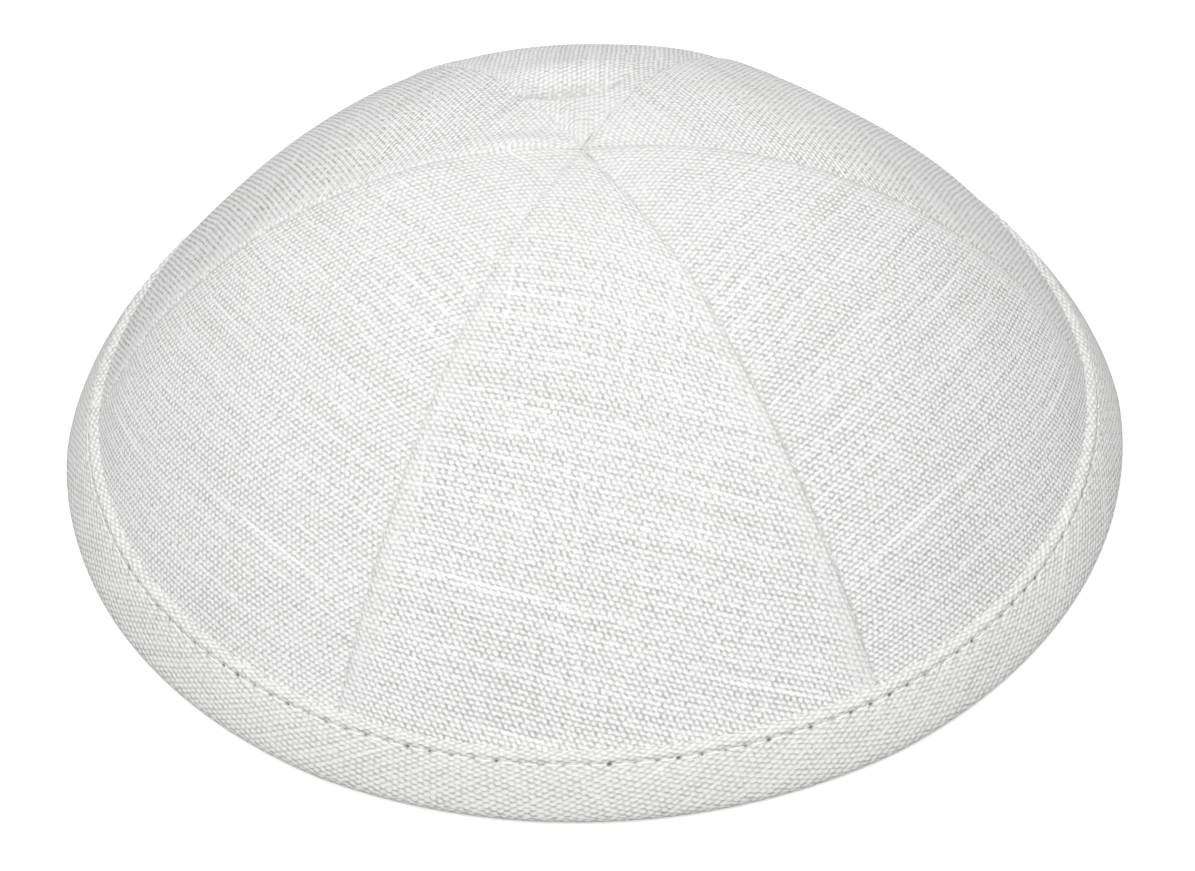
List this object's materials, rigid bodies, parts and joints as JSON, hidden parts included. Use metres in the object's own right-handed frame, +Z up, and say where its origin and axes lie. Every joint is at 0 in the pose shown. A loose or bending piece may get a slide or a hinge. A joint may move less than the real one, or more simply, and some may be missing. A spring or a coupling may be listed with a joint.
{
  "type": "kippah skullcap",
  "caption": "White linen kippah skullcap with a low domed crown of tapering sewn panels and a folded, topstitched binding round the open rim.",
  "frame": {"origin": "middle of the rim, on the surface that the cap rests on", "axes": "+Z up through the point where the seams meet, -Y towards the front panel, +X along the right-hand seam"},
  "size_m": [0.17, 0.1692, 0.0584],
  "materials": {
    "crown_linen": "matt white plain-weave linen with slubs",
    "binding_linen": "matt white plain-weave linen tape cut on the bias"
  },
  "bodies": {
    "root": {"panel_front": "crown_linen", "panel_front_right": "crown_linen", "panel_back_right": "crown_linen", "panel_back": "crown_linen", "panel_back_left": "crown_linen", "panel_front_left": "crown_linen", "binding": "binding_linen"}
  },
  "joints": []
}
